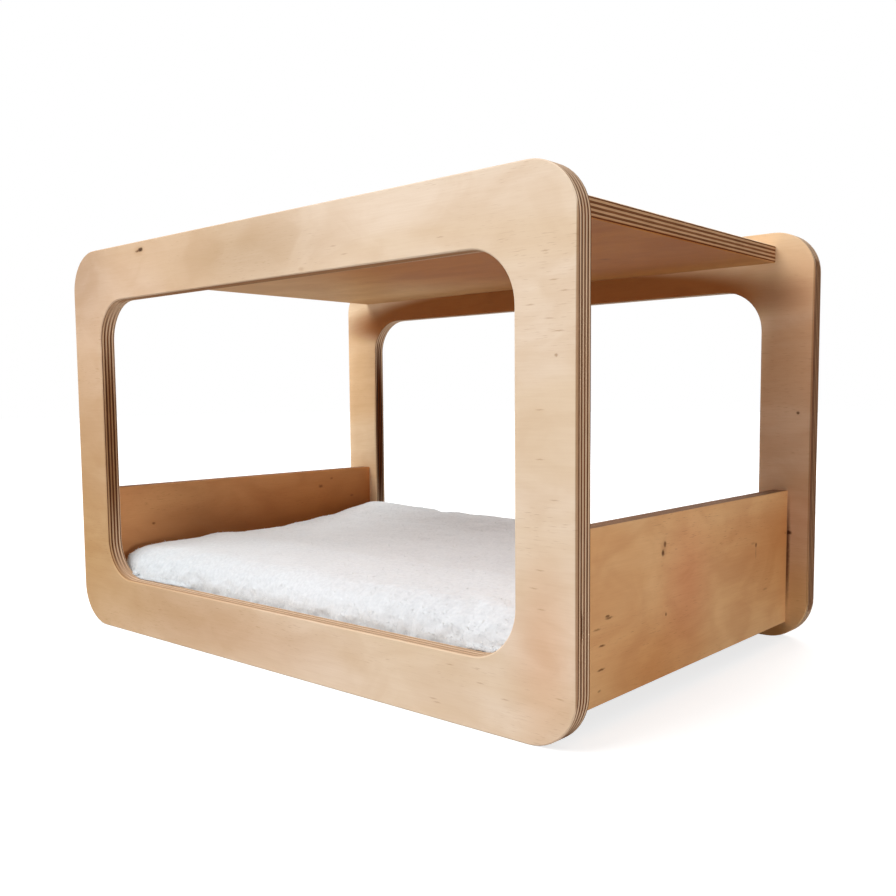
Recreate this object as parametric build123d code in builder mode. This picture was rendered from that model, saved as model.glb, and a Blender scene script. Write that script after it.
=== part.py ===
"""Cat wall shelf: two plywood ring frames, a roof, a floor and two side boards between them, and a cushion.

Millimetres, +Z up. X runs along the shelf's width and Y from the front frame to the rear frame, which goes
against the wall. The origin is under the middle of the shelf, at the level of the frames' lower edges.
"""

import os
from math import cos, pi, sin, sqrt

from build123d import *

# The shelf as a whole
shelf_width = 600
shelf_height = 370
shelf_depth = 390

# Ring frames, routed from birch plywood
frame_thickness = 15
stile_width = 48
top_rail_height = 50
bottom_rail_height = 50
frame_corner_radius = 38
window_corner_radius = 38
frame_arris = 0.8

# Boards between the frames, sawn from sheets of the same plywood
board_thickness = 15
board_arris = 0.6
roof_drop = 12
roof_end_inset = 36
floor_lift = 15
side_board_inset = 20.5
side_board_height = 122

# Fluted dowels, glued into blind holes in the frames and in the boards' ends
dowel_diameter = 6
dowel_length = 30
dowel_length_in_frame = 10
dowel_end_chamfer = 0.8
dowel_rib_count = 10
dowel_flute_depth = 0.3
dowel_glue_gap = 0.05
dowel_hole_spare = 1
wide_board_dowel_count = 4
wide_board_dowel_margin = 26
side_board_dowel_count = 2
side_board_dowel_margin = 31

# Keyhole slots routed in the rear frame's back, which hang on two wall screws
keyhole_spacing = 400
keyhole_head_diameter = 11
keyhole_neck_width = 5.5
keyhole_lip = 4
keyhole_depth = 10
keyhole_travel = 14
keyhole_below_rail_top = 36

# Loose cushion: a fleece cover round a soft filling
cushion_gap = 0.3
cushion_front_thickness = 41
cushion_rear_thickness = 63
cushion_corner_cut = 22
cushion_top_cut = 18
cover_thickness = 6
filling_gap = 0.3

# Sizes that follow from those above
board_length = shelf_depth - 2 * frame_thickness
window_width = shelf_width - 2 * stile_width
window_height = shelf_height - top_rail_height - bottom_rail_height
window_middle = bottom_rail_height + window_height / 2
roof_width = shelf_width - 2 * roof_end_inset
roof_middle = shelf_height - roof_drop - board_thickness / 2
side_board_middle = shelf_width / 2 - side_board_inset - board_thickness / 2
side_board_mid_height = floor_lift + side_board_height / 2
floor_width = 2 * side_board_middle - board_thickness
floor_middle = floor_lift + board_thickness / 2
dowel_length_in_board = dowel_length - dowel_length_in_frame
frame_hole_depth = dowel_length_in_frame + dowel_hole_spare
board_hole_depth = dowel_length_in_board + dowel_hole_spare
dowel_hole_radius = dowel_diameter / 2 + dowel_glue_gap

# Where the boards meet the frames. A sketch on either plane has X to the right and Z up, and faces the front.
front_joint = Plane.XZ.offset(board_length / 2)
rear_joint = Plane.XZ.offset(-board_length / 2)

os.makedirs("parts", exist_ok=True)


def evenly_spaced(middle, length, margin, count):
    """Places of a row of dowels along a board's end, the outer two a margin in from its corners."""
    first = middle - length / 2 + margin
    step = (length - 2 * margin) / (count - 1)
    return [first + step * number for number in range(count)]


# Dowel places as X and Z on the joint planes
roof_dowels = [
    (x, roof_middle) for x in evenly_spaced(0, roof_width, wide_board_dowel_margin, wide_board_dowel_count)
]
floor_dowels = [
    (x, floor_middle) for x in evenly_spaced(0, floor_width, wide_board_dowel_margin, wide_board_dowel_count)
]
side_dowel_heights = evenly_spaced(
    side_board_mid_height, side_board_height, side_board_dowel_margin, side_board_dowel_count
)
left_side_dowels = [(-side_board_middle, z) for z in side_dowel_heights]
right_side_dowels = [(side_board_middle, z) for z in side_dowel_heights]
all_dowels = roof_dowels + floor_dowels + left_side_dowels + right_side_dowels


def draw_ring():
    """The ring's outline in the sketch that is open: a rounded panel less its rounded window."""
    with Locations((0, shelf_height / 2)):
        RectangleRounded(shelf_width, shelf_height, frame_corner_radius)
    with Locations((0, window_middle)):
        RectangleRounded(window_width, window_height, window_corner_radius, mode=Mode.SUBTRACT)


# Front frame: the ring, its arrises sanded off, with blind dowel holes in its hidden face
with BuildPart() as front_frame:
    with BuildSketch(front_joint):
        draw_ring()
    extrude(amount=frame_thickness)
    chamfer(front_frame.faces().filter_by(Axis.Y).edges(), frame_arris)
    with BuildSketch(front_joint):
        with Locations(*all_dowels):
            Circle(dowel_hole_radius)
    extrude(amount=frame_hole_depth, mode=Mode.SUBTRACT)

front_frame.part.label = "front_frame"
export_step(front_frame.part, "parts/front_frame.step")


# Rear frame: the same ring, with keyhole slots in its back
keyhole_head_radius = keyhole_head_diameter / 2
keyhole_entry_height = shelf_height - keyhole_below_rail_top
keyhole_entries = [
    (-keyhole_spacing / 2, keyhole_entry_height),
    (keyhole_spacing / 2, keyhole_entry_height),
]
keyhole_runs = [(x, z + keyhole_travel / 2) for x, z in keyhole_entries]
wall_plane = Plane.XZ.offset(-shelf_depth / 2)
lip_plane = wall_plane.offset(keyhole_lip)

with BuildPart() as rear_frame:
    with BuildSketch(rear_joint):
        draw_ring()
    extrude(amount=-frame_thickness)
    chamfer(rear_frame.faces().filter_by(Axis.Y).edges(), frame_arris)
    with BuildSketch(rear_joint):
        with Locations(*all_dowels):
            Circle(dowel_hole_radius)
    extrude(amount=-frame_hole_depth, mode=Mode.SUBTRACT)
    # The screw head goes in at the round entry, and its shank rides up the narrow neck
    with BuildSketch(wall_plane):
        with Locations(*keyhole_entries):
            Circle(keyhole_head_radius)
        with Locations(*keyhole_runs):
            SlotCenterToCenter(keyhole_travel, keyhole_neck_width, rotation=90)
    extrude(amount=keyhole_lip, mode=Mode.SUBTRACT)
    # Behind the lip the channel is as wide as the head
    with BuildSketch(lip_plane):
        with Locations(*keyhole_runs):
            SlotCenterToCenter(keyhole_travel, keyhole_head_diameter, rotation=90)
    extrude(amount=keyhole_depth - keyhole_lip, mode=Mode.SUBTRACT)

rear_frame.part.label = "rear_frame"
export_step(rear_frame.part, "parts/rear_frame.step")


def sawn_board(width, height, middle, dowel_places, arris):
    """A board from frame to frame, seen from the front as width by height, with dowel holes in both ends."""
    with BuildPart() as board:
        with BuildSketch(rear_joint):
            with Locations(middle):
                Rectangle(width, height)
        extrude(amount=board_length)
        if arris:
            chamfer(board.edges().filter_by(Axis.Y), arris)
        with BuildSketch(rear_joint, front_joint.offset(-board_hole_depth)):
            with Locations(*dowel_places):
                Circle(dowel_hole_radius)
        extrude(amount=board_hole_depth, mode=Mode.SUBTRACT)
    return board.part


# The floor's long edges are glued against the side boards, so they stay square
roof_board = sawn_board(roof_width, board_thickness, (0, roof_middle), roof_dowels, board_arris)
floor_board = sawn_board(floor_width, board_thickness, (0, floor_middle), floor_dowels, 0)
left_place = (-side_board_middle, side_board_mid_height)
right_place = (side_board_middle, side_board_mid_height)
left_side_board = sawn_board(board_thickness, side_board_height, left_place, left_side_dowels, board_arris)
right_side_board = sawn_board(board_thickness, side_board_height, right_place, right_side_dowels, board_arris)
boards = {
    "roof_board": roof_board,
    "floor_board": floor_board,
    "left_side_board": left_side_board,
    "right_side_board": right_side_board,
}
for name, board in boards.items():
    board.label = name
    export_step(board, f"parts/{name}.step")


def fluted_dowel(place, joint, length_behind):
    """A beech dowel with flutes and chamfered ends, which reaches length_behind past the joint plane."""
    corners = []
    for number in range(2 * dowel_rib_count):
        flute_depth = dowel_flute_depth if number % 2 else 0
        radius = dowel_diameter / 2 - flute_depth
        angle = pi * number / dowel_rib_count
        corners.append((place[0] + radius * cos(angle), place[1] + radius * sin(angle)))
    with BuildPart() as dowel:
        with BuildSketch(joint.offset(-length_behind)):
            Polygon(*corners, align=None)
        extrude(amount=dowel_length)
        chamfer(dowel.faces().filter_by(Axis.Y).edges(), dowel_end_chamfer)
    return dowel.part


# One dowel for each hole pair, named by its board, its end and its place there
across_names = ["left_outer", "left_inner", "right_inner", "right_outer"]
upright_names = ["lower", "upper"]
dowel_rows = [
    ("roof", roof_dowels, across_names),
    ("floor", floor_dowels, across_names),
    ("left_side", left_side_dowels, upright_names),
    ("right_side", right_side_dowels, upright_names),
]
dowel_ends = [
    ("front", front_joint, dowel_length_in_board),
    ("rear", rear_joint, dowel_length_in_frame),
]
for board_name, places, place_names in dowel_rows:
    for end_name, joint, length_behind in dowel_ends:
        for place, place_name in zip(places, place_names):
            name = f"{board_name}_dowel_{end_name}_{place_name}"
            dowel = fluted_dowel(place, joint, length_behind)
            dowel.label = name
            export_step(dowel, f"parts/{name}.step")


# Cushion. Its top rises to the rear, and its plan fills the floor between the frames and the side boards.
cushion_width = floor_width - 2 * cushion_gap
cushion_depth = board_length - 2 * cushion_gap
cushion_bottom = floor_lift + board_thickness + cushion_gap


def side_outline(inset):
    """Corners of the cushion seen from the right, drawn in by inset: its top rises to the rear."""
    half_depth = cushion_depth / 2 - inset
    bottom = cushion_bottom + inset
    rear_top = cushion_bottom + cushion_rear_thickness - inset
    front_top = cushion_bottom + cushion_front_thickness - inset
    return [(-half_depth, bottom), (half_depth, bottom), (half_depth, rear_top), (-half_depth, front_top)]


def soft_block(inset):
    """The cushion's form drawn in by inset: its corners cut off in plan, and a slope all round its top."""
    # At 45 degrees a cut face moves in parallel when the cut shrinks by this share of the inset
    cut_share = 2 - sqrt(2)
    with BuildPart() as block:
        with BuildSketch(Plane.YZ):
            Polygon(*side_outline(inset), align=None)
        extrude(amount=cushion_width / 2 - inset, both=True)
        chamfer(block.edges().filter_by(Axis.Z), cushion_corner_cut - cut_share * inset)
        chamfer(block.faces().sort_by(Axis.Z)[-1].edges(), cushion_top_cut - cut_share * inset)
    return block.part


# Cover: a closed sewn shell round the filling
with BuildPart() as cushion_cover:
    add(soft_block(0))
    add(soft_block(cover_thickness), mode=Mode.SUBTRACT)

cushion_cover.part.label = "cushion_cover"
export_step(cushion_cover.part, "parts/cushion_cover.step")

cushion_filling = soft_block(cover_thickness + filling_gap)
cushion_filling.label = "cushion_filling"
export_step(cushion_filling, "parts/cushion_filling.step")
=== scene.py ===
"""Cat wall shelf: birch plywood rings and boards round a fleece cushion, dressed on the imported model."""

import math
import random

import bmesh
import bpy
import numpy as np
from mathutils import Matrix, Vector, noise


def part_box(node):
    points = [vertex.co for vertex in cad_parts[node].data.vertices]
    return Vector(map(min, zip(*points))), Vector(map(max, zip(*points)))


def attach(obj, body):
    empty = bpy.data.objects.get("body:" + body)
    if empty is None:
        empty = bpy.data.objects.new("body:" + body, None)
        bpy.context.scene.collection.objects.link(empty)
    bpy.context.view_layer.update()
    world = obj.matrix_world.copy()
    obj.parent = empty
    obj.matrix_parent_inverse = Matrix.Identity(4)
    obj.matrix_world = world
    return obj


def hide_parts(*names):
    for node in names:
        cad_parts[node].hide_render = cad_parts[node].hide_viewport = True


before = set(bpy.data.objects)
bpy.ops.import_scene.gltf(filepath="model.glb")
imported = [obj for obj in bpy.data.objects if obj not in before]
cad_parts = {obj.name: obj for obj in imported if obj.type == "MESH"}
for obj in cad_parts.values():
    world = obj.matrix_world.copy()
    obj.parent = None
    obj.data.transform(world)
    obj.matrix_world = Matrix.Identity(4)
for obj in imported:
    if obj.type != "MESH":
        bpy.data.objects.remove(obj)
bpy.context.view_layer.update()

# Viewpoint: just above the cushion and off the shelf's right corner, so the front ring, its edge and the
# right side board all show. The lens is that of a phone held at about a metre.
film_width = 36
film_pixels = 896
lens_reach_pixels = 966.05
lens_middle_across = 436.3
lens_middle_down = 478.09
nearest_seen = 0.01
camera_place = Vector((0.624366, -0.686862, 0.223577))
camera_turn = math.radians(41.756)
camera_pitch = math.radians(-4.708)
camera_roll = math.radians(-0.548)

camera_data = bpy.data.cameras.new("camera")
camera_data.sensor_width = film_width
camera_data.lens = lens_reach_pixels / film_pixels * film_width
camera_data.shift_x = (film_pixels / 2 - lens_middle_across) / film_pixels
camera_data.shift_y = (lens_middle_down - film_pixels / 2) / film_pixels
camera_data.clip_start = nearest_seen
camera = bpy.data.objects.new("camera", camera_data)
bpy.context.scene.collection.objects.link(camera)
camera.matrix_world = (
    Matrix.Translation(camera_place)
    @ Matrix.Rotation(camera_turn, 4, "Z")
    @ Matrix.Rotation(math.pi / 2 + camera_pitch, 4, "X")
    @ Matrix.Rotation(camera_roll, 4, "Z")
)
bpy.context.scene.camera = camera
bpy.context.scene.view_settings.view_transform = "Standard"


# Front and rear rings: 15 mm birch plywood, nine plies laid crosswise, routed to shape with a rounded
# window, sanded and given a matt clear coat. Every edge shows the plies: dark where their ends are cut,
# light where they run along the edge.
mm_per_metre = 1000
ply_count = 9
rail_plies_shown = 7

# The veneer's figure: how long and how wide each pattern's swells are, along and across the grain, in mm.
# Real fibres and pores are a tenth of this wide, too fine to show in the render, so they are drawn coarser.
cloud_reach = (210, 70)
ring_drift_reach = (150, 48)
blotch_reach = (60, 34)
fibre_reach = (26, 1.1)
pore_reach = (7, 0.5)
ring_spacing = 13
ring_wander = 5.0
dark_wood_from = 0.55
fibre_strength = 0.12
pore_strengths = (0.05, 0.4)

# Places in the noise, so that no two sheets and no two patterns look alike
sheet_step = 61.7
ring_drift_layer = 9
fibre_layer = 23
pore_layer = 40
blotch_layer = 70

# Between which values of the noise each pattern comes in
cloud_range = (0.34, 0.66)
blotch_range = (0.36, 0.68)
fibre_range = (0.35, 0.7)
pore_range = (0.7, 0.82)
pore_patch_range = (0.46, 0.62)

# The edges' figure, in mm and in shares of a ply
edge_streak_length = 18
edge_streak_thickness = 1.1
edge_streak_range = (0.3, 0.7)
edge_streak_strength = 0.5
crossband_end_share = 0.6
end_grain_contrast = 1.5
ply_tone_spread = 0.3
glue_line_share = 0.06
glue_line_strength = 0.7
outermost_margin = 0.001

# How far a surface has turned, as a share of facing straight: from edge to face, and up to the rail's top
face_from, face_until = 0.5, 0.68
upward_from, upward_until = 0.9, 0.99

# Knots and bark pockets have ragged outlines: bumps for each mm, and how far they reach in half sizes
ragged_bumps = 0.45
mark_raggedness = 1.1

# Sanded birch under a matt coat: a broad soft sheen, and edges that stay dull because they drink the coat
coat_ior = 1.5
coat_specular = 0.1
coated_face_roughness = 0.55
cut_edge_roughness = 0.9
grain_relief_strength = 0.35
grain_relief_depth = 0.0002


def linear(hex_colour):
    """A written sRGB colour as the linear colour that a socket takes."""
    levels = [int(hex_colour[start:start + 2], 16) / 255 for start in (1, 3, 5)]
    shares = [level / 12.92 if level <= 0.04045 else ((level + 0.055) / 1.055) ** 2.4 for level in levels]
    return (*shares, 1)


def add_node(tree, kind, inputs=None, take=0, **settings):
    """Adds a node with its settings, feeds its inputs by place or name and hands back the output taken."""
    made = tree.nodes.new("ShaderNode" + kind)
    for setting, value in settings.items():
        setattr(made, setting, value)
    for place, value in (inputs or {}).items():
        if isinstance(value, bpy.types.NodeSocket):
            tree.links.new(value, made.inputs[place])
        else:
            made.inputs[place].default_value = value
    return made.outputs[take] if len(made.outputs) else made


def new_material(name):
    """An empty material and its shader, which the pattern nodes then feed."""
    material = bpy.data.materials.new(name)
    material.use_nodes = True
    tree = material.node_tree
    return material, tree, tree.nodes["Principled BSDF"]


def grain_pattern(tree, along, across, reach, layer, detail, distortion=0):
    """Clouds, streaks or flecks drawn out along the grain, reach mm long and wide."""
    place = add_node(tree, "CombineXYZ", {
        0: add_node(tree, "Math", {0: along, 1: 1 / reach[0]}, operation="MULTIPLY"),
        1: add_node(tree, "Math", {0: across, 1: 1 / reach[1]}, operation="MULTIPLY"),
        2: layer,
    })
    return add_node(tree, "TexNoise", {
        "Vector": place, "Scale": 1, "Detail": detail, "Distortion": distortion,
    })


def veneer_figure(tree, along, across, sheet_number, tones):
    """Rotary-cut birch: broad clouds of tone, faint growth rings and short fine pores along the grain."""
    pale, deep, ring_tone, pore_tone = [linear(tone) for tone in tones["face"]]
    ring_strength, blotch_strength = tones["figure"]
    sheet = sheet_step * sheet_number
    cloud = grain_pattern(tree, along, across, cloud_reach, sheet, detail=3, distortion=0.4)
    cloud = add_node(tree, "MapRange", {0: cloud, 1: cloud_range[0], 2: cloud_range[1]},
                     interpolation_type="SMOOTHSTEP")
    colour = add_node(tree, "Mix", {0: cloud, 6: pale, 7: deep}, take=2, data_type="RGBA")

    # Growth rings: a slow wave across the grain, pushed about by noise until it meanders
    drift = grain_pattern(tree, along, across, ring_drift_reach, sheet + ring_drift_layer, detail=2)
    turns = add_node(tree, "Math", {0: across, 1: 1 / ring_spacing}, operation="MULTIPLY")
    turns = add_node(tree, "Math", {0: drift, 1: ring_wander, 2: turns}, operation="MULTIPLY_ADD")
    ring = add_node(tree, "Math", {0: turns}, operation="FRACT")
    ring = add_node(tree, "MapRange", {0: ring, 1: dark_wood_from, 2: 1.0}, interpolation_type="SMOOTHSTEP")
    ring = add_node(tree, "Math", {0: ring, 1: ring_strength}, operation="MULTIPLY")
    colour = add_node(tree, "Mix", {0: ring, 6: colour, 7: ring_tone}, take=2, data_type="RGBA")

    # Blotches: birch takes up oil unevenly, in soft patches a few centimetres long
    blotch = grain_pattern(tree, along, across, blotch_reach, sheet + blotch_layer, detail=4, distortion=0.8)
    blotch = add_node(tree, "MapRange", {
        0: blotch, 1: blotch_range[0], 2: blotch_range[1], 3: 0.0, 4: blotch_strength,
    }, interpolation_type="SMOOTHSTEP")
    colour = add_node(tree, "Mix", {0: blotch, 6: colour, 7: ring_tone}, take=2, data_type="RGBA")

    # Fibres and pores: streaks drawn out along the grain, the pores only here and there
    fibre = grain_pattern(tree, along, across, fibre_reach, sheet + fibre_layer, detail=2)
    fibre = add_node(tree, "MapRange", {
        0: fibre, 1: fibre_range[0], 2: fibre_range[1], 3: 0.0, 4: fibre_strength,
    })
    colour = add_node(tree, "Mix", {0: fibre, 6: colour, 7: ring_tone}, take=2, data_type="RGBA")
    pore = grain_pattern(tree, along, across, pore_reach, sheet + pore_layer, detail=0)
    pore = add_node(tree, "MapRange", {0: pore, 1: pore_range[0], 2: pore_range[1]})
    patch = add_node(tree, "MapRange", {
        0: drift, 1: pore_patch_range[0], 2: pore_patch_range[1], 3: pore_strengths[0], 4: pore_strengths[1],
    })
    pore = add_node(tree, "Math", {0: pore, 1: patch}, operation="MULTIPLY")
    colour = add_node(tree, "Mix", {0: pore, 6: colour, 7: pore_tone}, take=2, data_type="RGBA")
    relief = add_node(tree, "Math", {0: fibre, 1: pore}, operation="ADD")
    return colour, relief


def edge_figure(tree, along, across, depth, plies, end_facing, crossband_facing, tones):
    """Edges: a ply whose fibres point at the eye shows dark end grain, its neighbours light long grain."""
    ply_number = add_node(tree, "Math", {0: plies}, operation="FLOOR")
    crossed = add_node(tree, "Math", {0: ply_number, 1: 2.0}, operation="MODULO")
    crossband_end = add_node(tree, "Math", {0: crossband_facing, 1: crossband_end_share},
                             operation="MULTIPLY")
    end_grain = add_node(tree, "Mix", {0: crossed, 2: end_facing, 3: crossband_end})
    end_grain = add_node(tree, "Math", {0: end_grain, 1: end_grain_contrast}, operation="POWER")

    # Streaks along each ply, and a tone of its own for each
    streak_place = add_node(tree, "CombineXYZ", {
        0: add_node(tree, "Math", {0: along, 1: 1 / edge_streak_length}, operation="MULTIPLY"),
        1: add_node(tree, "Math", {0: across, 1: 1 / edge_streak_length}, operation="MULTIPLY"),
        2: add_node(tree, "Math", {0: depth, 1: 1 / edge_streak_thickness}, operation="MULTIPLY"),
    })
    streak = add_node(tree, "TexNoise", {"Vector": streak_place, "Scale": 1, "Detail": 2})
    streak = add_node(tree, "MapRange", {
        0: streak, 1: edge_streak_range[0], 2: edge_streak_range[1], 3: 0.0, 4: edge_streak_strength,
    })
    ply_tone = add_node(tree, "TexWhiteNoise", {"W": ply_number}, noise_dimensions="1D")
    ply_tone = add_node(tree, "Math", {0: ply_tone, 1: ply_tone_spread, 2: streak}, operation="MULTIPLY_ADD")
    long_pale, long_deep, end_pale, end_deep, glue = [linear(tone) for tone in tones["edge"]]
    long_colour = add_node(tree, "Mix", {0: ply_tone, 6: long_pale, 7: long_deep}, take=2, data_type="RGBA")
    end_colour = add_node(tree, "Mix", {0: ply_tone, 6: end_pale, 7: end_deep}, take=2, data_type="RGBA")
    colour = add_node(tree, "Mix", {0: end_grain, 6: long_colour, 7: end_colour}, take=2, data_type="RGBA")

    # A thin dark line of glue between every two plies
    to_glue = add_node(tree, "Math", {0: plies, 1: 0.5}, operation="PINGPONG")
    glue_line = add_node(tree, "MapRange", {
        0: to_glue, 1: 0.0, 2: glue_line_share, 3: glue_line_strength, 4: 0.0,
    })
    colour = add_node(tree, "Mix", {0: glue_line, 6: colour, 7: glue}, take=2, data_type="RGBA")
    return colour, streak


def lay_stains_shade_and_marks(tree, place, colour, stains_and_shade, marks):
    """Stains and painted shade tint the wood, and marks cover it. Each is an ellipsoid in the sheet, in
    millimetres: centre, half sizes, colour, strength and softness."""
    ragged = add_node(tree, "TexNoise", {"Vector": place, "Scale": ragged_bumps, "Detail": 3}, take=1)
    ragged = add_node(tree, "VectorMath", {0: ragged, 1: (0.5, 0.5, 0.5)}, operation="SUBTRACT")
    tinting = [(tint, "MULTIPLY", 0) for tint in stains_and_shade]
    covering = [(mark, "MIX", mark_raggedness) for mark in marks]
    for (centre, half_sizes, tone, strength, softness), blending, raggedness in tinting + covering:
        nudge = raggedness * min(half_sizes)
        from_centre = add_node(tree, "VectorMath", {0: place, 1: centre}, operation="SUBTRACT")
        from_centre = add_node(tree, "VectorMath", {0: ragged, 1: (nudge,) * 3, 2: from_centre},
                               operation="MULTIPLY_ADD")
        shares = tuple(1 / half_size for half_size in half_sizes)
        from_centre = add_node(tree, "VectorMath", {0: from_centre, 1: shares}, operation="MULTIPLY")
        distance = add_node(tree, "VectorMath", {0: from_centre}, take=1, operation="LENGTH")
        cover = add_node(tree, "MapRange", {
            0: distance, 1: 1.0 - softness, 2: 1.0, 3: strength, 4: 0.0,
        }, interpolation_type="SMOOTHSTEP")
        colour = add_node(tree, "Mix", {0: cover, 6: colour, 7: linear(tone)}, take=2, data_type="RGBA",
                          blend_type=blending)
    return colour


def birch_plywood(name, node_name, grain_axis, tones, stains_and_shade, marks, upward_plies=ply_count):
    """Plywood as it is glued up: a place in the sheet decides the ply, and so what its face or edge shows.
    Upward plies is how many are drawn on an edge that faces up."""
    material, tree, shader = new_material(name)
    low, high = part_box(node_name)
    sizes = high - low
    depth_axis = min(range(3), key=lambda axis: sizes[axis])
    across_axis = 3 - depth_axis - grain_axis
    thickness = sizes[depth_axis] * mm_per_metre

    spot = add_node(tree, "TexCoord", take=3)
    place = add_node(tree, "VectorMath", {0: spot, 3: mm_per_metre}, operation="SCALE")
    axes = add_node(tree, "SeparateXYZ", {0: place}).node.outputs
    normal = spot.node.outputs["Normal"]
    upward = add_node(tree, "SeparateXYZ", {0: normal}).node.outputs["Z"]
    facing = add_node(tree, "VectorMath", {0: normal}, operation="ABSOLUTE")
    facings = add_node(tree, "SeparateXYZ", {0: facing}).node.outputs
    along, across = axes[grain_axis], axes[across_axis]

    depth = add_node(tree, "Math", {0: axes[depth_axis], 1: low[depth_axis] * mm_per_metre},
                     operation="SUBTRACT")
    plies_shown = add_node(tree, "MapRange", {
        0: upward, 1: upward_from, 2: upward_until, 3: ply_count, 4: upward_plies,
    })
    plies = add_node(tree, "Math", {0: depth, 1: 1 / thickness}, operation="MULTIPLY")
    plies = add_node(tree, "Math", {0: plies, 1: plies_shown}, operation="MULTIPLY")
    plies = add_node(tree, "Math", {0: plies, 1: outermost_margin}, operation="MAXIMUM")
    plies = add_node(tree, "Math", {0: plies, 1: ply_count - outermost_margin}, operation="MINIMUM")

    sheet_number = depth_axis + low[depth_axis]
    face_colour, face_relief = veneer_figure(tree, along, across, sheet_number, tones)
    edge_colour, edge_relief = edge_figure(
        tree, along, across, depth, plies, facings[grain_axis], facings[across_axis], tones
    )
    on_face = add_node(tree, "MapRange", {0: facings[depth_axis], 1: face_from, 2: face_until})
    colour = add_node(tree, "Mix", {0: on_face, 6: edge_colour, 7: face_colour}, take=2, data_type="RGBA")
    colour = lay_stains_shade_and_marks(tree, place, colour, stains_and_shade, marks)

    tree.links.new(colour, shader.inputs["Base Color"])
    roughness = add_node(tree, "MapRange", {0: on_face, 3: cut_edge_roughness, 4: coated_face_roughness})
    tree.links.new(roughness, shader.inputs["Roughness"])
    shader.inputs["IOR"].default_value = coat_ior
    shader.inputs["Specular IOR Level"].default_value = coat_specular
    relief = add_node(tree, "Mix", {0: on_face, 2: edge_relief, 3: face_relief})
    bump = add_node(tree, "Bump", {
        "Strength": grain_relief_strength, "Distance": grain_relief_depth, "Height": relief,
    })
    tree.links.new(bump, shader.inputs["Normal"])
    return material


# Tones. Face: pale wood, deeper wood, growth rings and blotches, pores. Edge: long grain pale and deep, end
# grain pale and deep, glue. Figure: how strong the growth rings and the blotches are.
ring_edge_tones = ("#E9CDAE", "#D0AA85", "#8A5A3C", "#4E2C16", "#38200F")
front_tones = {
    "face": ("#F1DCC6", "#E9D0B3", "#D5B38E", "#BA916A"),
    "edge": ring_edge_tones,
    "figure": (0.07, 0.3),
}
rear_tones = {
    "face": ("#F6DCBB", "#EFCDA4", "#D2A578", "#A87850"),
    "edge": ring_edge_tones,
    "figure": (0.07, 0.25),
}

# Where stains, painted shade and marks lie, in mm: on the rings' faces that look forward, or in the middle
# of an edge
front_face, front_core = -195, -187.5
rear_face, rear_core = 180, 187.5

# The front ring is painted darker and yellower at its lower left and greyer at its upper left, a broad
# painted shade, and its window's top edge, which faces down, is darkened as painted shade. The top left
# corner, the middles of the top and bottom rails and the right stile's foot each have a faint tint of their
# own. A stain of near white hardly shows.
front_stains_and_shade = [
    ((-300, front_face, 80), (290, 8, 260), "#D8C09A", 1.0, 1.0),
    ((-300, front_face, 300), (500, 8, 300), "#EDE0D4", 1.0, 1.0),
    ((0, front_core, 320), (285, 7.8, 6), "#C8A888", 0.95, 0.3),
    ((-290, front_face, 350), (90, 8, 80), "#E7E3E1", 1.0, 1.0),
    ((-20, front_face, 345), (150, 8, 50), "#E9E4DB", 1.0, 1.0),
    ((-60, front_face, 25), (220, 8, 50), "#E7D8C9", 1.0, 1.0),
    ((276, front_face, 60), (40, 8, 90), "#F8E6D8", 1.0, 1.0),
]

# Its edges: the window's left edge, which faces away from the key lamp, is darkened as painted shade; the
# right edge is faintly tinted and its arris darker; the round corner at the lower right, where the edge
# turns down, is darkened as painted shade with some dirt
front_stains_and_shade += [
    ((-252, -187, 185), (5, 9, 125), "#A88A68", 0.9, 0.6),
    ((300, front_core, 185), (3, 9, 260), "#F6F2F0", 1.0, 0.3),
    ((300, front_face, 185), (2.2, 3.0, 260), "#B59C86", 0.9, 0.4),
    ((282, front_core, 2), (36, 7.8, 22), "#8E6E54", 0.9, 0.8),
]

# Short dark flecks along the grain, then a knot on the upper rail, two small spots and a split in the edge
front_dashes = (
    (85.1, 336.7), (96.8, 329.7), (190.6, 331), (276, 313), (264.6, 281), (282, 295), (290.6, 288),
    (279, 272), (287, 264), (272, 216), (272, 185), (283, 160), (273, 90), (272, 115), (267, 103),
    (180.2, 14.2), (184, 12), (-113, 54), (-163, 29), (-253, 284), (-261, 256), (-16, 35), (244, 26),
    (287, 35), (223, 33), (196, 41),
)
dash_sizes = (5, 1.2, 0.7)
front_marks = [((x, front_face, z), dash_sizes, "#B08055", 0.45, 0.9) for x, z in front_dashes]
front_marks += [
    ((-178, front_face, 361.4), (13, 1.6, 6), "#C09468", 0.55, 1.0),
    ((-180.5, front_face, 361.2), (5.5, 1.6, 1.7), "#6B4628", 0.85, 0.8),
    ((-175.5, front_face, 362.2), (5.2, 1.6, 2.6), "#4A2E1A", 0.95, 0.6),
    ((48.5, front_face, 323.4), (5, 1.6, 2.6), "#B08457", 0.35, 0.9),
    ((284.1, front_face, 249.3), (2.0, 1.6, 1.6), "#9C6F46", 0.6, 0.8),
    ((300, -189.8, 82), (1.5, 0.7, 13), "#2E1A10", 0.95, 0.6),
]

# The rear ring is painted browner on its upper rail below the roof and darker and pinker on its right
# stile, painted shade where the roof and the front ring shade them; below the right side board its face is
# painted darker and redder, painted shade too, and its left stile is greyer. The window's left edge is
# dark, a painted shade, and the right edge a dull brown.
rear_stains_and_shade = [
    ((-10, rear_face, 316), (330, 5, 42), "#A06A2F", 0.95, 0.3),
    ((288, rear_face, 200), (60, 5, 190), "#D8C3BA", 0.95, 0.5),
    ((290, rear_face, 40), (40, 5, 90), "#EDDEC5", 1.0, 1.0),
    ((266, rear_face, 6), (28, 5, 18), "#F2CCA2", 1.0, 0.8),
    ((-268, rear_face, 190), (45, 5, 230), "#E9E4DC", 1.0, 0.6),
    ((-252, 187, 185), (5, 9, 150), "#683D0C", 1.0, 0.6),
    ((300, rear_face, 185), (2.2, 3.0, 260), "#C9B6A2", 0.8, 0.4),
    ((300, rear_core, 185), (3, 9, 260), "#B8A290", 1.0, 0.3),
]

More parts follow.
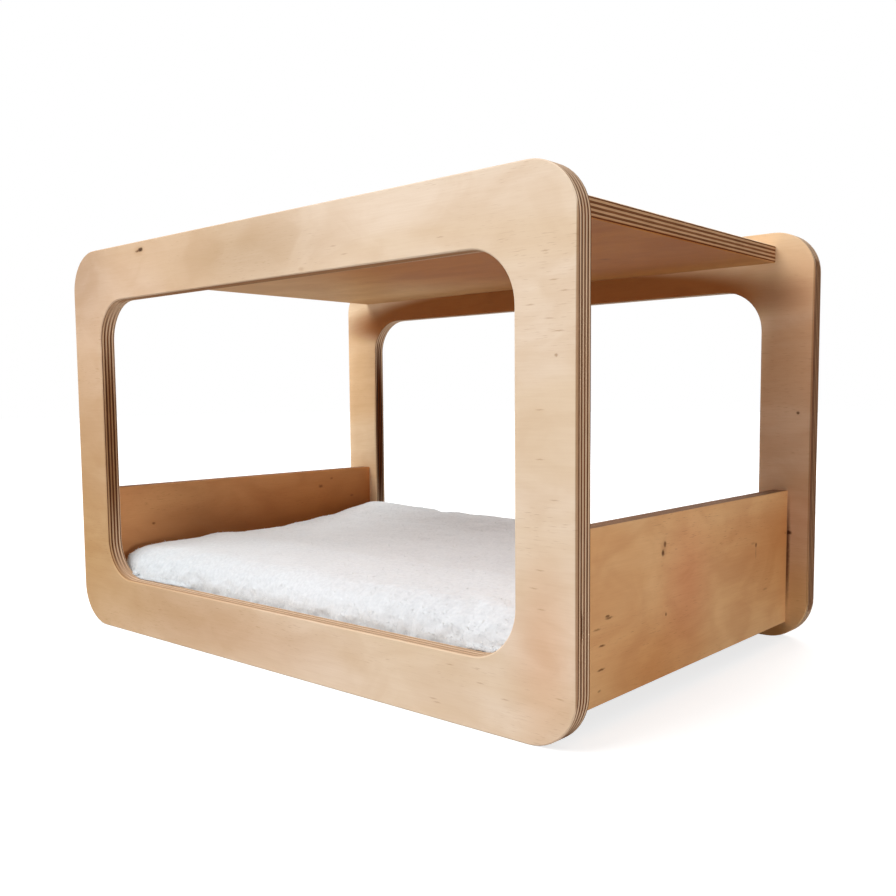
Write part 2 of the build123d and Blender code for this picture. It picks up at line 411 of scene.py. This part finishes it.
# A knot, the dark joint beside the right side board, and a dent in it
rear_marks = [
    ((287.6, rear_face, 207.5), (2.0, 1.4, 2.0), "#5A3820", 0.9, 0.7),
    ((280.4, rear_face, 80), (3.2, 1.4, 66), "#5A3418", 0.9, 0.85),
    ((281.5, rear_face, 98.5), (3.6, 1.4, 2.8), "#42230F", 0.95, 0.7),
]

# The rail's top is seen so flat that its nine plies are finer than the pixels, so it is drawn with seven
front_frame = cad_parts["front_frame"]
rear_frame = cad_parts["rear_frame"]
front_plywood = birch_plywood(
    "birch_plywood_front", "front_frame", 0, front_tones, front_stains_and_shade, front_marks, rail_plies_shown
)
rear_plywood = birch_plywood("birch_plywood_rear", "rear_frame", 0, rear_tones, rear_stains_and_shade, rear_marks)


def finish_node(node, material):
    """Gives a carried-over piece its real finish, in every material slot that it has."""
    if not node.material_slots:
        node.data.materials.append(material)
    for place in node.material_slots:
        place.material = material


finish_node(front_frame, front_plywood)
finish_node(rear_frame, rear_plywood)


# Roof, floor and side boards: the same 15 mm birch plywood, sawn straight, with a warmer heartwood veneer
# than the rings; the right board's face is a darker copy, a painted shade. They are butted between the rings
# and glued on dowels.
board_edge_tones = ("#CDA27B", "#A97C55", "#8A5838", "#4E2A12", "#38200F")
side_edge_tones = ("#B08C6E", "#946E50", "#78533A", "#54331D", "#3E2412")
pale_board_face = ("#EAC99F", "#DBB48B", "#C59A72", "#865C3C")
board_figure = (0.04, 0.3)
# Painted shade: the right board's face is a darker, warmer copy of the boards' veneer, for its half shade
right_shaded_tones = {
    "face": ("#E7B985", "#DBA46F", "#BE7E4E", "#8A5230"),
    "edge": side_edge_tones,
    "figure": board_figure,
}
left_tones = {"face": pale_board_face, "edge": side_edge_tones, "figure": board_figure}
roof_tones = {"face": pale_board_face, "edge": board_edge_tones, "figure": board_figure}

# The roof's underside and the left board's inner face are painted darker and warmer than the faces behind
# them: painted shade, under the roof and inside the shelf. The first stain of each is flat and covers that
# one face. The right board's outer face has its own three.
roof_underside = 343
left_board_face = -264.5
right_board_face = 279.5
roof_painted_shade = [
    ((0, 0, roof_underside), (900, 600, 2), "#F5E8D1", 1.0, 0.3),
    ((140, 0, roof_underside), (380, 320, 4), "#CFA169", 1.0, 0.7),
]
roof_marks = [
    ((166, 50, roof_underside), (8, 8, 1.2), "#7A4A28", 0.45, 1.0),
]
left_painted_shade = [
    ((left_board_face, 0, 76), (2, 600, 400), "#E5C5A9", 1.0, 0.3),
    ((left_board_face, 120, 80), (4, 330, 120), "#E2C096", 1.0, 1.0),
]
left_marks = [
    ((left_board_face, 96.4, 118.2), (2.2, 5.0, 3.0), "#6B3F20", 0.8, 0.9),
    ((left_board_face, -135.7, 96.5), (2.0, 3.2, 2.2), "#6B3F20", 0.8, 0.9),
    ((left_board_face, 148, 103), (2.0, 4.5, 2.2), "#7A4A28", 0.6, 0.9),
    ((left_board_face, 114.6, 126.8), (2.0, 3.6, 2.2), "#7A4A28", 0.6, 0.9),
]
right_stains = [
    ((right_board_face, 150, 80), (4, 190, 110), "#E2CFBA", 1.0, 1.0),
    ((right_board_face, -12, 80), (4, 60, 75), "#F3D9D2", 1.0, 1.0),
    ((right_board_face, -70, 25), (4, 130, 60), "#F3E0CC", 1.0, 1.0),
]

# A knot with two dark eyes, a smaller one further back with its streaks, and short dashes towards the front
right_marks = [
    ((right_board_face, -49.2, 112), (1.8, 6.5, 10), "#A26C42", 0.4, 1.0),
    ((right_board_face, -47.8, 115), (1.6, 2.6, 3.2), "#6E4223", 0.9, 0.75),
    ((right_board_face, -50.7, 108.6), (1.6, 3.0, 3.4), "#5E3518", 0.95, 0.75),
    ((right_board_face, 113.2, 94.9), (1.6, 3.0, 3.0), "#6E4223", 0.85, 0.8),
    ((right_board_face, 113, 88), (1.6, 2.0, 7.0), "#9A6A44", 0.6, 0.9),
    ((right_board_face, 107, 97), (1.6, 6.5, 1.8), "#9A6A44", 0.5, 0.9),
    ((right_board_face, -45.2, 62.1), (1.6, 2.2, 2.0), "#7E4F2C", 0.9, 0.8),
    ((right_board_face, -125.1, 73.3), (1.6, 6.5, 1.3), "#7A5230", 0.8, 0.8),
    ((right_board_face, -140.1, 67.8), (1.6, 6.5, 1.1), "#8A5F35", 0.7, 0.8),
    ((right_board_face, -133.8, 55.6), (1.6, 5.5, 1.2), "#6E4220", 0.9, 0.8),
    ((right_board_face, -134.9, 39.3), (1.6, 6.5, 1.2), "#6E4220", 0.9, 0.8),
    ((right_board_face, -127, 74.8), (1.6, 4.0, 1.2), "#5E3818", 0.8, 0.7),
    ((right_board_face, -137, 25), (1.6, 3.0, 1.3), "#8A5F35", 0.6, 0.8),
    ((right_board_face, 133.9, 53.2), (1.6, 6.5, 1.3), "#9A6A44", 0.6, 0.8),
    ((right_board_face, 177, 98.5), (1.6, 3.0, 1.6), "#7A4A28", 0.5, 0.9),
]

# The roof's and the floor's grain runs along the shelf's width, the side boards' from front to rear
for material_name, board_name, grain_axis, tones, stains_and_shade, marks in (
    ("birch_plywood_roof", "roof_board", 0, roof_tones, roof_painted_shade, roof_marks),
    ("birch_plywood_floor", "floor_board", 0, roof_tones, [], []),
    ("birch_plywood_left_side", "left_side_board", 1, left_tones, left_painted_shade, left_marks),
    ("birch_plywood_right_side", "right_side_board", 1, right_shaded_tones, right_stains, right_marks),
):
    plywood = birch_plywood(material_name, board_name, grain_axis, tones, stains_and_shade, marks)
    finish_node(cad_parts[board_name], plywood)


# Dowels: turned beech pins with pressed flutes, glued blind into the rings and the boards' ends. Nothing
# of them shows on the assembled shelf.
beech_fleck_width = 0.625
beech_fleck_length = 6.25
bare_beech_roughness = 0.6

# Beech is pinkish brown, with short fine flecks along the pin, which lies from front to rear
fleck_sizes = (beech_fleck_width, beech_fleck_length, beech_fleck_width)
flecks_per_metre = tuple(mm_per_metre / size for size in fleck_sizes)
dowel_beech, dowel_tree, dowel_shader = new_material("turned_beech")
dowel_spot = add_node(dowel_tree, "TexCoord", take=3)
dowel_place = add_node(dowel_tree, "VectorMath", {0: dowel_spot, 1: flecks_per_metre}, operation="MULTIPLY")
dowel_fleck = add_node(dowel_tree, "TexNoise", {"Vector": dowel_place, "Scale": 1, "Detail": 2})
dowel_colour = add_node(dowel_tree, "Mix", {0: dowel_fleck, 6: linear("#D9B48C"), 7: linear("#B98A60")},
                        take=2, data_type="RGBA")
dowel_tree.links.new(dowel_colour, dowel_shader.inputs["Base Color"])
dowel_shader.inputs["Roughness"].default_value = bare_beech_roughness
for node_name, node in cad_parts.items():
    if "_dowel_" in node_name:
        finish_node(node, dowel_beech)


# Cushion: a loose pad with a sewn cover of white long-pile fleece round a soft filling. It fills the floor
# between the boards, lies higher at the rear and rolls down behind the front rail. The pile is combed
# polyester a few millimetres long: soft clumps on the top, and wisps that stand off every edge.
cushion_low, cushion_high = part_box("cushion_cover")

# The cover as it is sewn, in metres like all that follows
pad_clearance = 0.0012
pad_corner_radius = 0.013
pad_shoulder_reach = 0.012
pad_heel_reach = 0.009
pad_widest_height = 0.015
crown_base = 0.050
curve_steps = 8

# How it is stuffed
stuffing_swell = 0.006
swell_cap = 1.3
stuffing_pressure = 4
stuffing_steps = 20
voxel_size = 0.005
least_length = 1e-9

# How it lies: the height of its top from front to rear, and the plumper corner at the rear left
crown_places = (-0.175, -0.096, -0.075, -0.040, 0.000, 0.055, 0.093, 0.132, 0.150, 0.172)
crown_heights = (0.0475, 0.0480, 0.0498, 0.0470, 0.0486, 0.0517, 0.0532, 0.0595, 0.0605, 0.0648)
plump_corner = (-0.230, 0.165)
plump_reach = (0.050, 0.030)
plump_height = 0.0015
broad_dip_height, broad_dip_width = 0.0022, 0.13
small_dip_height, small_dip_width = 0.0012, 0.05
skin_gap = 0.0003
crown_headroom = 0.004
seed_steps = (3.7, 1.9, 5.3)
octave_fade, octave_ratio = 1.0, 2.0

# Where the ring leaves the pad room to the front: over the rail, which curves up into the stiles
rail_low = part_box("front_frame")[0]
rail_height = 0.050
rail_arris = 0.0008
window_half_width = 0.252
window_radius = 0.038
outside_window = -1.0
overhang_places = (-0.238, -0.226, -0.185, -0.130, 0.190, 0.215, 0.240)
overhangs = (0.0003, 0.0045, 0.005, 0.0008, 0.0008, 0.003, 0.003)
overhang_rise = 0.0012
shoulder_depth = 0.016
lip_depth = 0.0026
lip_reach = 0.004
lip_least_overhang = 0.0015
lip_overhang_share = 0.8
lip_lift = 0.0003


def rounded_plan(half_width, half_depth, radius):
    """Corner points of a rounded rectangle, in order."""
    points = []
    for corner, (side_x, side_y) in enumerate(((1, 1), (-1, 1), (-1, -1), (1, -1))):
        for step in range(curve_steps + 1):
            angle = math.pi / 2 * (corner + step / curve_steps)
            points.append((
                side_x * (half_width - radius) + radius * math.cos(angle),
                side_y * (half_depth - radius) + radius * math.sin(angle),
            ))
    return points


def link_piece(name, mesh):
    """An object of that mesh in the scene."""
    piece = bpy.data.objects.new(name, mesh)
    bpy.context.scene.collection.objects.link(piece)
    return piece


def sewn_bag(shrink):
    """The cover before it is stuffed: heel, widest line, shoulder and flat top, drawn in all round."""
    half_width = (cushion_high.x - cushion_low.x) / 2 - pad_clearance - shrink
    half_depth = (cushion_high.y - cushion_low.y) / 2 - pad_clearance - shrink
    bottom = cushion_low.z + shrink
    top = crown_base - 2 * shrink
    widest = pad_widest_height - shrink

    # Each level: how far it is drawn in, its share of the height up to the widest line, and of that above it
    levels = []
    for step in range(curve_steps):
        angle = math.pi / 2 * step / curve_steps
        levels.append((pad_heel_reach * (1 - math.sin(angle)), 1 - math.cos(angle), 0))
    for step in range(curve_steps + 1):
        angle = math.pi / 2 * step / curve_steps
        levels.append((pad_shoulder_reach * (1 - math.cos(angle)), 1, math.sin(angle)))

    bag = bmesh.new()
    rings = []
    for inset, heel_share, shoulder_share in levels:
        ring = []
        for x, y in rounded_plan(half_width - inset, half_depth - inset, pad_corner_radius - inset):
            height = widest * heel_share + (top - widest) * shoulder_share
            ring.append(bag.verts.new((x, y, bottom + height)))
        rings.append(ring)
    bag.faces.new(list(reversed(rings[0])))
    rim = []
    for number, vertex in enumerate(rings[-1]):
        sides = (vertex, rings[-1][number - 1])
        rim.append(bag.edges.get(sides) or bag.edges.new(sides))
    bmesh.ops.triangle_fill(bag, use_beauty=True, edges=rim)
    for lower, upper in zip(rings, rings[1:]):
        for number in range(len(lower)):
            following = (number + 1) % len(lower)
            bag.faces.new((lower[number], lower[following], upper[following], upper[number]))
    mesh = bpy.data.meshes.new("cushion_fleece")
    bag.to_mesh(mesh)
    bag.free()
    return link_piece("cushion_fleece", mesh)


def keep_evaluated(piece):
    """Fixes what the piece's modifiers make of it, and takes the modifiers off."""
    shown = piece.evaluated_get(bpy.context.evaluated_depsgraph_get())
    mesh = bpy.data.meshes.new_from_object(shown)
    piece.modifiers.clear()
    old = piece.data
    piece.data = mesh
    bpy.data.meshes.remove(old)


def vertex_rows(piece):
    """The piece's points as rows of an array."""
    flat = np.zeros(len(piece.data.vertices) * 3)
    piece.data.vertices.foreach_get("co", flat)
    return flat.reshape(-1, 3)


def normal_rows(piece):
    """The directions that the piece's skin faces at its points, as rows of an array."""
    flat = np.zeros(len(piece.data.vertices) * 3)
    piece.data.vertex_normals.foreach_get("vector", flat)
    return flat.reshape(-1, 3)


def move_vertices(piece, rows):
    """Puts the piece's points at the rows of an array."""
    piece.data.vertices.foreach_set("co", rows.ravel())
    piece.data.update()


def rough(rows, wavelength, octaves, seed):
    """Smooth noise from about -1 to 1 at each point, with swells a wavelength across."""
    shift = Vector([seed * step for step in seed_steps])
    places = [Vector(row) / wavelength + shift for row in rows]
    return np.array([noise.fractal(place, octave_fade, octave_ratio, octaves) for place in places])


cushion = sewn_bag(stuffing_swell)
remesh = cushion.modifiers.new("remesh", "REMESH")
remesh.mode = "VOXEL"
remesh.voxel_size = voxel_size
keep_evaluated(cushion)
# The filling: air pressure swells the bag, as wadding does, and no point goes further than the cap
unstuffed = vertex_rows(cushion)
cloth = cushion.modifiers.new("cloth", "CLOTH")
cloth.settings.use_pressure = True
cloth.settings.uniform_pressure_force = stuffing_pressure
cloth.settings.effector_weights.gravity = 0
for frame_number in range(1, stuffing_steps + 1):
    bpy.context.scene.frame_set(frame_number)
keep_evaluated(cushion)
swollen = vertex_rows(cushion) - unstuffed
lengths = np.linalg.norm(swollen, axis=1, keepdims=True)
swollen *= np.minimum(1, swell_cap * stuffing_swell / np.maximum(lengths, least_length))
move_vertices(cushion, unstuffed + swollen)
bpy.context.scene.frame_set(1)
subdivision = cushion.modifiers.new("subdivision", "SUBSURF")
subdivision.levels = 1
subdivision.render_levels = 1
keep_evaluated(cushion)

# Lying in place: flat underneath, out to the boards on all sides, and as high as it was stuffed along it
rows = vertex_rows(cushion)
for axis in (0, 1):
    reach = (cushion_high[axis] - cushion_low[axis]) / 2 - pad_clearance
    rows[:, axis] *= reach / np.abs(rows[:, axis]).max()
crown = np.interp(rows[:, 1], crown_places, crown_heights)
rows[:, 2] = cushion_low.z + (rows[:, 2] - cushion_low.z) * crown / crown_base

# The slow dips of a pad that has been slept on, strongest on its top
share_up = np.clip((rows[:, 2] - cushion_low.z) / crown_base, 0, 1)
dips = broad_dip_height * rough(rows * (1, 1, 0), broad_dip_width, octaves=2, seed=2)
dips = dips + small_dip_height * rough(rows * (1, 1, 0), small_dip_width, octaves=1, seed=3)
from_plump = (rows[:, :2] - plump_corner) / plump_reach
dips += plump_height * np.exp(-(from_plump ** 2).sum(axis=1))
rows[:, 2] += dips * share_up
limit_low = np.array(cushion_low) + skin_gap
limit_high = np.array(cushion_high) + (-skin_gap, -skin_gap, crown_headroom)


def above_window_edge(points):
    """How far each point lies above the window's lower edge, the rail's top with its round corners."""
    beyond = np.abs(points[:, 0]) - (window_half_width - window_radius)
    curve = window_radius - np.sqrt(window_radius ** 2 - np.clip(beyond, 0, window_radius) ** 2)
    over = points[:, 2] - (rail_low.z + rail_height + rail_arris + curve)
    return np.where(beyond < window_radius - rail_arris, over, outside_window)


def keep_off_the_ring(points, overhang):
    """Keeps points behind the ring, or above the rail within an overhang past its inner face."""
    lowest = np.tile(limit_low, (len(points), 1))
    lowest[:, 1] -= np.where(above_window_edge(points) > 0, overhang, 0)
    return np.clip(points, lowest, limit_high)


# The front swells out over the rail's top
lift = np.clip(above_window_edge(rows) / overhang_rise, 0, 1)
front_share = np.clip((limit_low[1] + shoulder_depth - rows[:, 1]) / shoulder_depth, 0, 1)
overhang = np.interp(rows[:, 0], overhang_places, overhangs)
rows[:, 1] -= overhang * lift * front_share

# Where it hangs over far enough, its lowest row is drawn up and forward to lie on the rail
over_edge = above_window_edge(rows)
at_rail_height = (over_edge <= 0) & (over_edge > -lip_depth)
lip = at_rail_height & (rows[:, 1] < limit_low[1] + lip_reach) & (overhang > lip_least_overhang)
rows[lip, 2] += lip_lift - over_edge[lip]
rows[lip, 1] = limit_low[1] - lip_overhang_share * overhang[lip]
move_vertices(cushion, rows)

# Wadding: the filling follows the inside of its cover
fleece_thickness = 0.004
wadding_pad = cushion.copy()
wadding_pad.data = cushion.data.copy()
wadding_pad.name = "cushion_wadding"
bpy.context.scene.collection.objects.link(wadding_pad)
move_vertices(wadding_pad, rows - normal_rows(cushion) * fleece_thickness)

# Pile: puffy clumps, each a few millimetres across, with soft creases between them, on longer swells. Along
# the front, where it is handled most, it has come apart into tufts. All of it fades out underneath.
clump_height, clump_width = 0.0008, 0.0085
crease_level = 0.35
swell_height, swell_width = 0.0012, 0.024
tuft_height, tuft_width = 0.0016, 0.009
tuft_reach = 0.022
pile_fade = 4
pile_overhang = 0.001

clumps = clump_height * (crease_level - np.abs(rough(rows, clump_width, octaves=2, seed=5)))
clumps = clumps + swell_height * rough(rows, swell_width, octaves=1, seed=6)
at_the_front = np.exp(-(rows[:, 1] - limit_low[1]).clip(0, None) / tuft_reach)
tufts = tuft_height * rough(rows, tuft_width, octaves=2, seed=7) * at_the_front
rows += normal_rows(cushion) * ((clumps + tufts) * np.clip(pile_fade * share_up, 0, 1))[:, None]
rows = keep_off_the_ring(rows, overhang + pile_overhang)
move_vertices(cushion, rows)
cushion.data.shade_smooth()

# Wisps: single locks of the pile, in metres and in shares of their length
wisp_thickness = 0.0003
wisp_sides = 3
wisp_overhang = 0.006
root_depth = 0.001
root_scatter = 0.0012
lean_spread = (0.6, 1.4)
thickness_spread = (0.7, 1.3)
bend_share = 0.3
droop = 0.5
wisp_stations = ((0, 0, 1.0), (0.4, 0.12, 0.9), (0.75, 0.5, 0.6))
tip_share = 0.95
bare_heel = 0.014
lowest_root = cushion_low.z + bare_heel
top_facing = 0.8
front_facing = -0.3
rail_wisp_low, rail_wisp_high = -0.001, 0.005


def any_way(chance):
    """A random vector, each part of it from -1 to 1."""
    return Vector([chance.uniform(-1, 1) for _ in range(3)])


def wisps_of_pile(name, count, rooted, shortest, longest, lean, seed):
    """Separate wisps of the pile: thin, bent, closed tapers, rooted in the skin. Lean 0 stands them up."""
    chance = random.Random(seed)
    points = vertex_rows(cushion)
    directions = normal_rows(cushion)
    roots = np.flatnonzero(rooted(points, directions)).tolist()
    verts, faces = [], []
    for _ in range(count):
        number = chance.choice(roots)
        out = Vector(directions[number])
        root = Vector(points[number]) - out * root_depth
        root += any_way(chance) * root_scatter
        sideways = any_way(chance)
        sideways -= out * sideways.dot(out)
        way = (out + sideways.normalized() * lean * chance.uniform(*lean_spread)).normalized()
        across = way.orthogonal().normalized()
        other = way.cross(across)
        length = chance.uniform(shortest, longest)
        bend = (any_way(chance) - out * droop) * length * bend_share
        radius = wisp_thickness / 2 * chance.uniform(*thickness_spread)

        # Three-sided rings of points that get narrower and bend away, then the tip
        first = len(verts)
        for length_share, bent, width_share in wisp_stations:
            station = root + way * length * length_share + bend * bent
            for turn in range(wisp_sides):
                angle = math.tau * turn / wisp_sides
                towards = across * math.cos(angle) + other * math.sin(angle)
                verts.append(station + towards * radius * width_share)
        verts.append(root + way * length * tip_share + bend)
        last = first + 2 * wisp_sides
        tip = first + 3 * wisp_sides
        faces.append(tuple(first + turn for turn in reversed(range(wisp_sides))))
        for turn in range(wisp_sides):
            following = (turn + 1) % wisp_sides
            for ring in (first, first + wisp_sides):
                upper = ring + wisp_sides
                faces.append((ring + turn, ring + following, upper + following, upper + turn))
            faces.append((last + turn, last + following, tip))
    placed = np.array(verts)
    placed[:, 2] = np.minimum(placed[:, 2], limit_high[2])
    placed = keep_off_the_ring(placed, np.interp(placed[:, 0], overhang_places, overhangs) + wisp_overhang)
    mesh = bpy.data.meshes.new(name)
    mesh.from_pydata(placed.tolist(), [], faces)
    mesh.shade_smooth()
    return link_piece(name, mesh)


def on_the_edges(points, directions):
    """Which points of the skin lie on the pad's edges, clear of its underside."""
    return (points[:, 2] > lowest_root) & (directions[:, 2] < top_facing)


def on_the_top(points, directions):
    """Which points lie on the pad's top."""
    return (points[:, 2] > lowest_root) & (directions[:, 2] >= top_facing)


def beside_the_rail(points, directions):
    """Which points face forward just over the rail, where the wisps hide the joint."""
    over = above_window_edge(points)
    return (over > rail_wisp_low) & (over < rail_wisp_high) & (directions[:, 1] < front_facing)


edge_pile = wisps_of_pile(
    "cushion_edge_pile", count=8000, rooted=on_the_edges, shortest=0.0018, longest=0.0032, lean=1.6, seed=11
)
top_pile = wisps_of_pile(
    "cushion_top_pile", count=7000, rooted=on_the_top, shortest=0.0015, longest=0.0028, lean=1.2, seed=12
)
rail_pile = wisps_of_pile(
    "cushion_rail_pile", count=700, rooted=beside_the_rail, shortest=0.002, longest=0.0045, lean=0.9, seed=13
)

# Fleece: white polyester, brushed until it curls, in curls about 3 mm wide. Light goes through the fibres
# and leaves no gloss and no hard shadow; the soft grey between one curl and the next is painted shade.
fleece_curl = 2.94 / mm_per_metre
fleece_roughness = 0.95
fleece_sheen = 0.3
fleece_scatter = 0.4
fleece_scatter_reach = 0.002
fleece_relief_strength = 0.25
fleece_relief_depth = 0.001
# Painted shade at the pile's left end: full at the first place across, gone at the second, in metres
left_shade_from, left_shade_until = -0.26, 0.02


def shade_pile_left_end(tree, spot, colour):
    """Towards the left end the pile is painted a little greyer: painted shade."""
    across = add_node(tree, "SeparateXYZ", {0: spot}).node.outputs["X"]
    left_shade = add_node(tree, "MapRange", {0: across, 1: left_shade_from, 2: left_shade_until, 3: 1.0, 4: 0.0})
    return add_node(tree, "Mix", {0: left_shade, 6: colour, 7: linear("#EDF1F2")}, take=2, data_type="RGBA",
                    blend_type="MULTIPLY")


curly_fleece, fleece_tree, fleece_shader = new_material("long_pile_fleece")
fleece_spot = add_node(fleece_tree, "TexCoord", take=3)
curls = add_node(fleece_tree, "TexNoise", {"Vector": fleece_spot, "Scale": 1 / fleece_curl, "Detail": 3})
# Painted shade: the colour is darker where the same noise lowers the bump, in the hollows between curls
fleece_colour = add_node(fleece_tree, "Mix", {0: curls, 6: linear("#D3D6DA"), 7: linear("#F1F4F7")},
                         take=2, data_type="RGBA")
fleece_colour = shade_pile_left_end(fleece_tree, fleece_spot, fleece_colour)
fleece_tree.links.new(fleece_colour, fleece_shader.inputs["Base Color"])
fleece_shader.inputs["Roughness"].default_value = fleece_roughness
fleece_shader.inputs["Sheen Weight"].default_value = fleece_sheen
fleece_shader.inputs["Subsurface Weight"].default_value = fleece_scatter
fleece_shader.inputs["Subsurface Radius"].default_value = (1, 1, 1)
fleece_shader.inputs["Subsurface Scale"].default_value = fleece_scatter_reach
fleece_bump = add_node(fleece_tree, "Bump", {
    "Strength": fleece_relief_strength, "Distance": fleece_relief_depth, "Height": curls,
})
fleece_tree.links.new(fleece_bump, fleece_shader.inputs["Normal"])

# Wisp: the same polyester, combed out. The wisps are painted paler than the mass of the pile, as painted
# light against the shade their thin tapers fall into, and differ a little from one lock of 8 mm to the next.
wisp_shade_width = 8.33 / mm_per_metre
wisp_roughness = 0.9

fleece_wisp, wisp_tree, wisp_shader = new_material("combed_fleece_wisp")
wisp_spot = add_node(wisp_tree, "TexCoord", take=3)
wisp_shade = add_node(wisp_tree, "TexNoise", {
    "Vector": wisp_spot, "Scale": 1 / wisp_shade_width, "Detail": 2,
})
wisp_colour = add_node(wisp_tree, "Mix", {0: wisp_shade, 6: linear("#EDEFF2"), 7: linear("#F7F9FA")},
                       take=2, data_type="RGBA")
wisp_colour = shade_pile_left_end(wisp_tree, wisp_spot, wisp_colour)
wisp_tree.links.new(wisp_colour, wisp_shader.inputs["Base Color"])
wisp_shader.inputs["Roughness"].default_value = wisp_roughness
wisp_shader.inputs["Sheen Weight"].default_value = fleece_sheen

for piece, material in (
    (cushion, curly_fleece),
    (edge_pile, fleece_wisp),
    (top_pile, fleece_wisp),
    (rail_pile, fleece_wisp),
):
    piece.data.materials.append(material)
    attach(piece, "cushion")
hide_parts("cushion_cover")

# Filling: loose polyester wadding in tufts about a centimetre across, off-white and quite dull
wadding_tuft_width = 11.1 / mm_per_metre
wadding_roughness = 1.0

wadding, wadding_tree, wadding_shader = new_material("polyester_wadding")
wadding_spot = add_node(wadding_tree, "TexCoord", take=3)
wadding_tuft = add_node(wadding_tree, "TexNoise", {
    "Vector": wadding_spot, "Scale": 1 / wadding_tuft_width, "Detail": 5,
})
wadding_colour = add_node(wadding_tree, "Mix", {0: wadding_tuft, 6: linear("#E6E6E4"), 7: linear("#F6F6F4")},
                          take=2, data_type="RGBA")
wadding_tree.links.new(wadding_colour, wadding_shader.inputs["Base Color"])
wadding_shader.inputs["Roughness"].default_value = wadding_roughness
finish_node(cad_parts["cushion_filling"], wadding)
wadding_pad.data.materials.append(wadding)
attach(wadding_pad, "cushion")
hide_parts("cushion_filling")


# Studio: a plain pale floor, a broad key lamp high at the front left, a weak one low at the right, a third
# behind at the left, and an even sky. The floor looks white to the camera only, the sky in reflections too.
floor_reach = 12
floor_paint_colour = "#C0C0C0"
floor_roughness = 1.0
glow_near, glow_far = 0.6, 3.0
glow_beside, glow_beyond = 0.75, 1.0
world_strength = 0.27
seen_strength = 1.0
lamp_target = Vector((0, 0, 0.15))
key_watts = 122
key_place = Vector((-1.0, -2.1, 2.75))
key_size = 2.6
fill_watts = 26
fill_place = Vector((3.0, -0.6, 0.2))
fill_size = 0.4
back_watts = 57
back_place = Vector((-0.5, 2.6, 1.9))
back_size = 1.8

# The floor glows a little less round the shelf, so the shelf's shadow still shows on it
floor_mesh = bpy.data.meshes.new("studio_floor")
floor_corners = [
    (side_x * floor_reach, side_y * floor_reach, 0)
    for side_x, side_y in ((-1, -1), (1, -1), (1, 1), (-1, 1))
]
floor_mesh.from_pydata(floor_corners, [], [(0, 1, 2, 3)])
studio_floor = link_piece("studio_floor", floor_mesh)
floor_paint, floor_tree, floor_shader = new_material("pale_floor")
floor_shader.inputs["Base Color"].default_value = linear(floor_paint_colour)
floor_shader.inputs["Roughness"].default_value = floor_roughness
floor_shader.inputs["Specular IOR Level"].default_value = 0.0
seen = add_node(floor_tree, "LightPath", take=0)
floor_spot = add_node(floor_tree, "TexCoord", take=3)
distance = add_node(floor_tree, "VectorMath", {0: floor_spot}, take=1, operation="LENGTH")
glow_strength = add_node(floor_tree, "MapRange", {
    0: distance, 1: glow_near, 2: glow_far, 3: glow_beside, 4: glow_beyond,
})
glow = add_node(floor_tree, "Emission", {"Color": linear("#FFFFFF"), "Strength": glow_strength})
lit = add_node(floor_tree, "AddShader", {0: floor_shader.outputs[0], 1: glow})
shown = add_node(floor_tree, "MixShader", {0: seen, 1: floor_shader.outputs[0], 2: lit})
floor_tree.links.new(shown, floor_tree.nodes["Material Output"].inputs["Surface"])
studio_floor.data.materials.append(floor_paint)

world = bpy.data.worlds.new("studio")
bpy.context.scene.world = world
world.use_nodes = True
sky = world.node_tree
sky.nodes.clear()
rays = add_node(sky, "LightPath").node
by_camera, by_gloss = rays.outputs["Is Camera Ray"], rays.outputs["Is Glossy Ray"]
through_glass = rays.outputs["Is Transmission Ray"]
white_seen = add_node(sky, "Math", {0: by_camera, 1: by_gloss}, operation="MAXIMUM")
white_seen = add_node(sky, "Math", {0: white_seen, 1: through_glass}, operation="MAXIMUM")
strength = add_node(sky, "Mix", {0: white_seen, 2: world_strength, 3: seen_strength})
background = add_node(sky, "Background", {"Color": linear("#FFFFFF"), "Strength": strength})
add_node(sky, "OutputWorld", {"Surface": background})

for lamp_name, place, watts, size in (
    ("key_lamp", key_place, key_watts, key_size),
    ("fill_lamp", fill_place, fill_watts, fill_size),
    ("back_lamp", back_place, back_watts, back_size),
):
    lamp_data = bpy.data.lights.new(lamp_name, "AREA")
    lamp_data.energy = watts
    lamp_data.size = size
    lamp = bpy.data.objects.new(lamp_name, lamp_data)
    bpy.context.scene.collection.objects.link(lamp)
    lamp.location = place
    lamp.rotation_euler = (lamp_target - place).to_track_quat("-Z", "Y").to_euler()
